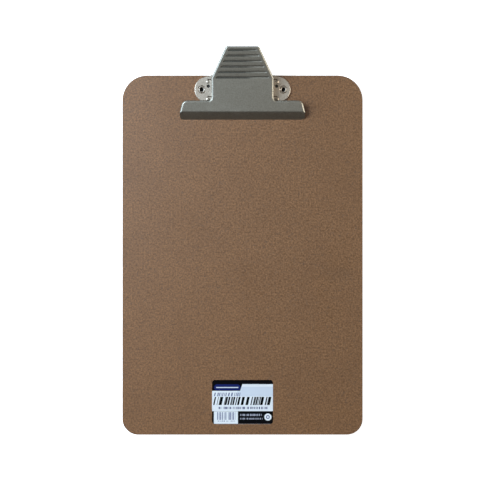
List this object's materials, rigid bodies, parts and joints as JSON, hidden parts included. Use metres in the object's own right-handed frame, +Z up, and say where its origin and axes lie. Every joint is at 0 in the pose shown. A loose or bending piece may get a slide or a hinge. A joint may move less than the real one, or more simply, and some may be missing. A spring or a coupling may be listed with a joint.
{
  "type": "clipboard",
  "caption": "Flat hardboard writing board with rounded corners and a wide sprung steel lever clip that grips paper at its top edge.",
  "frame": {"origin": "centre of the board's back face, on which it rests", "axes": "+X across the board, +Y along the board towards the clip, +Z up out of its front face"},
  "size_m": [0.23, 0.3684, 0.0286],
  "materials": {
    "hardboard": "tempered fibreboard, smooth front with dark fibre flecks, screen-textured back",
    "label_paper": null,
    "bright_plate": "bright plated pressed steel",
    "rivet_steel": "plated steel",
    "spring_steel": "oiled spring wire",
    "satin_plate": "satin nickel-plated pressed steel"
  },
  "bodies": {
    "board_assembly": {"board": "hardboard", "label": "label_paper", "base_plate": "bright_plate", "rivet_left": "rivet_steel", "rivet_right": "rivet_steel", "hinge_pin": "rivet_steel", "torsion_spring": "spring_steel"},
    "clip_lever": {"lever": "satin_plate"}
  },
  "joints": [
    {"name": "lever_hinge", "type": "hinge", "parent": "board_assembly", "child": "clip_lever", "pos_m": [0, 0.1595, 0.0104], "axis": [-1, 0, 0], "range_deg": [0, 26], "stiffness_Nm_per_rad": 0.7, "springref_deg": -34.38, "deforming": ["torsion_spring"]}
  ]
}
